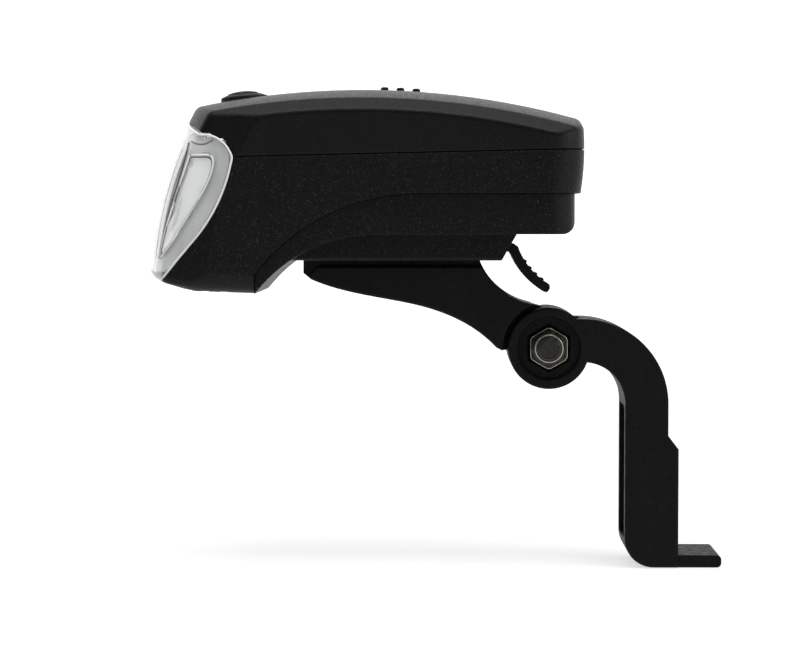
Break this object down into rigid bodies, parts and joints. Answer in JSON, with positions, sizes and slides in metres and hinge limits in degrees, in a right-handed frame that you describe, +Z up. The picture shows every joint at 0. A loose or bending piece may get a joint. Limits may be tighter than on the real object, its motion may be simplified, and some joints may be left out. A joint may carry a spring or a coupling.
{
  "type": "bike headlight",
  "caption": "Battery bike headlight with a wrap-round lens and sliding cover, on a quick-release arm that tilts on a fork crown bracket.",
  "frame": {"origin": "centre of the crown bolt's slot, on the pad face that lies against the fork crown", "axes": "+X from the lamp towards the fork crown (the nose points to -X), +Z up, Y across; the lamp is symmetric about Y = 0"},
  "size_m": [0.1274, 0.046, 0.1068],
  "materials": {
    "black_bracket": "smooth matte moulding",
    "black_housing": "fine spark texture",
    "black_cover": "satin moulding",
    "black_cradle": "matte moulding",
    "black_lever": "matte moulding",
    "black_rubber": "matte rubber",
    "clear_lens": "clear polished plastic",
    "bright_metal": "bright metal coating",
    "steel": "zinc-plated",
    "nylon": "dark nylon",
    "aluminium": "plain",
    "board_white": "white solder mask",
    "board_green": "green solder mask",
    "switch_black": "matte",
    "emitter": "clear dome over phosphor",
    "cell_can": "printed sleeve",
    "nickel": "nickel-plated"
  },
  "bodies": {
    "bracket": {"fork_bracket": "black_bracket", "pivot_bolt": "steel", "pivot_nut": "steel", "nut_nylon_ring": "nylon"},
    "arm": {"holder_arm": "black_bracket"},
    "lamp": {"housing_body": "black_housing", "bottom_tray": "black_housing", "tray_screws": "steel", "lens": "clear_lens", "reflector": "bright_metal", "led_board": "board_white", "led_emitter": "emitter", "heat_sink": "aluminium", "main_board": "board_green", "push_switch": "switch_black", "battery_cradle": "black_cradle", "front_cell": "cell_can", "rear_cell": "cell_can", "front_contacts": "nickel", "bridge_contact": "nickel", "contact_springs": "nickel"},
    "cover": {"battery_cover": "black_cover"},
    "button": {"power_button": "black_rubber"},
    "lever": {"release_lever": "black_lever"}
  },
  "joints": [
    {"name": "tilt", "type": "hinge", "parent": "bracket", "child": "arm", "pos_m": [-0.0288, 0, 0.0331], "axis": [0, 1, 0], "range_deg": [-30, 30]},
    {"name": "quick_release_slide", "type": "slide", "parent": "arm", "child": "lamp", "axis": [-1, 0, 0], "range_m": [0, 0.044]},
    {"name": "cover_slide", "type": "slide", "parent": "lamp", "child": "cover", "axis": [0.9997, 0, 0.0225], "range_m": [0, 0.085]},
    {"name": "button_press", "type": "slide", "parent": "cover", "child": "button", "axis": [0, 0, -1], "range_m": [0, 0.0008], "stiffness_N_per_m": 2500},
    {"name": "lever_lift", "type": "hinge", "parent": "lamp", "child": "lever", "pos_m": [-0.0482, 0, 0.0563], "axis": [0, -1, 0], "range_deg": [0, 5], "stiffness_Nm_per_rad": 0.8}
  ]
}
